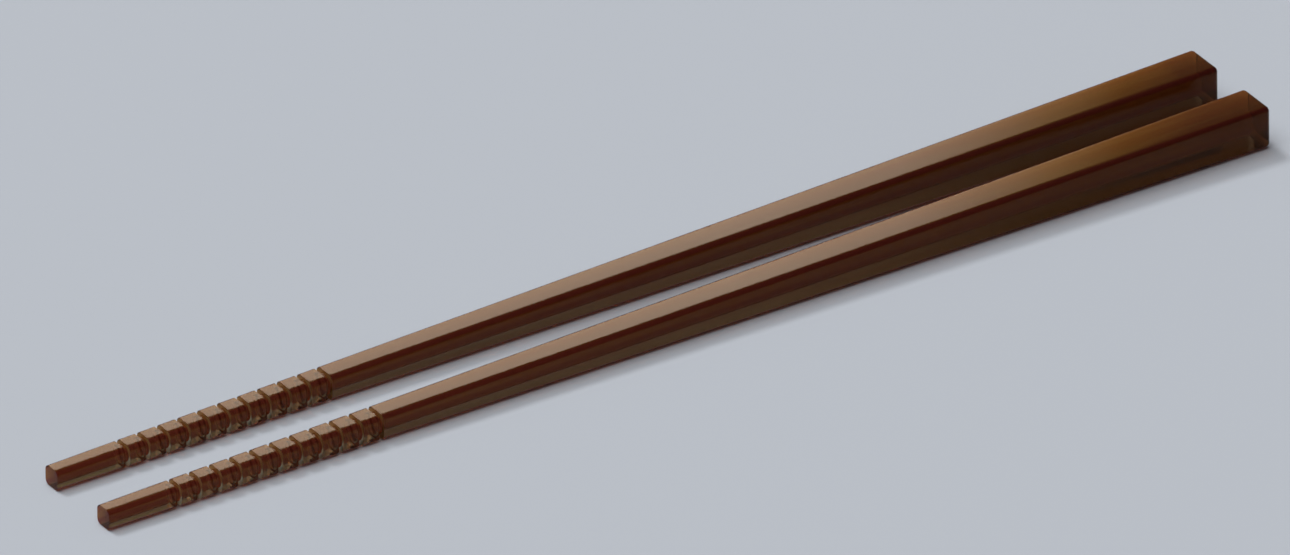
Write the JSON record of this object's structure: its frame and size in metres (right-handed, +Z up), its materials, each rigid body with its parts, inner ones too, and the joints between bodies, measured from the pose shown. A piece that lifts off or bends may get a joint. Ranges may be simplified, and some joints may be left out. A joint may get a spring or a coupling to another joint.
{
  "type": "pair of chopsticks",
  "caption": "Pair of tapered square chopsticks in clear brown resin, with rounded edges, flat tips and ring grooves near the tips that keep food from slipping.",
  "frame": {"origin": "on the table, midway between the two sticks and midway along them", "axes": "+X along the sticks from the tips to the butts, +Y across the pair from the front stick to the back one, +Z up from the table"},
  "size_m": [0.23, 0.0234, 0.0079],
  "materials": {
    "clear_brown_resin": "polished, see-through amber brown"
  },
  "bodies": {
    "root": {"front_chopstick": "clear_brown_resin", "back_chopstick": "clear_brown_resin"}
  },
  "joints": []
}
